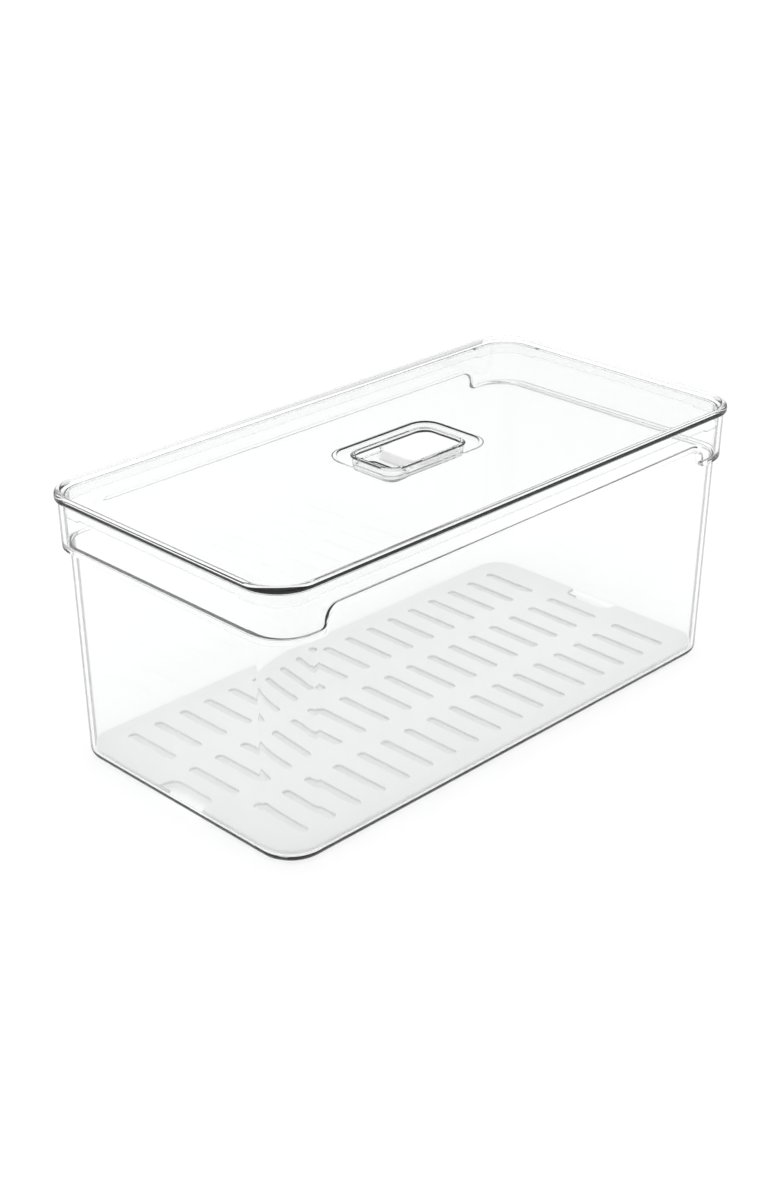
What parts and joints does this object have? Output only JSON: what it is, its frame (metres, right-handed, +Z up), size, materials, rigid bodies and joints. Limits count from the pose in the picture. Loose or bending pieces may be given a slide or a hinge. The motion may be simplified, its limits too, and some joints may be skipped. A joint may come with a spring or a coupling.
{
  "type": "fridge bin",
  "caption": "Clear rectangular fridge storage bin with a stepped collar, lift-off lid, sliding lid vent and a slotted drain tray.",
  "frame": {"origin": "centre of the footprint, on the level that the foot ribs stand on", "axes": "+X along the length, towards the end that the vent slider covers; +Y across the width; +Z up"},
  "size_m": [0.321, 0.1634, 0.1402],
  "materials": {
    "tub_clear": "clear, glossy",
    "lid_clear": "clear, glossy",
    "vent_clear": "clear, glossy",
    "slider_white": "white, slightly translucent, smooth",
    "tray_white": "white, satin"
  },
  "bodies": {
    "tub": {"bin_tub": "tub_clear"},
    "lid": {"lid": "lid_clear", "vent_cup": "vent_clear"},
    "slider": {"vent_slider": "slider_white"},
    "tray": {"drain_tray": "tray_white"}
  },
  "joints": [
    {"name": "lid_lift", "type": "slide", "parent": "tub", "child": "lid", "axis": [0, 0, 1], "range_m": [0, 0.08]},
    {"name": "vent_slide", "type": "slide", "parent": "lid", "child": "slider", "axis": [-1, 0, 0], "range_m": [0, 0.016]},
    {"name": "tray_lift", "type": "slide", "parent": "tub", "child": "tray", "axis": [0, 0, 1], "range_m": [0, 0.115]}
  ]
}
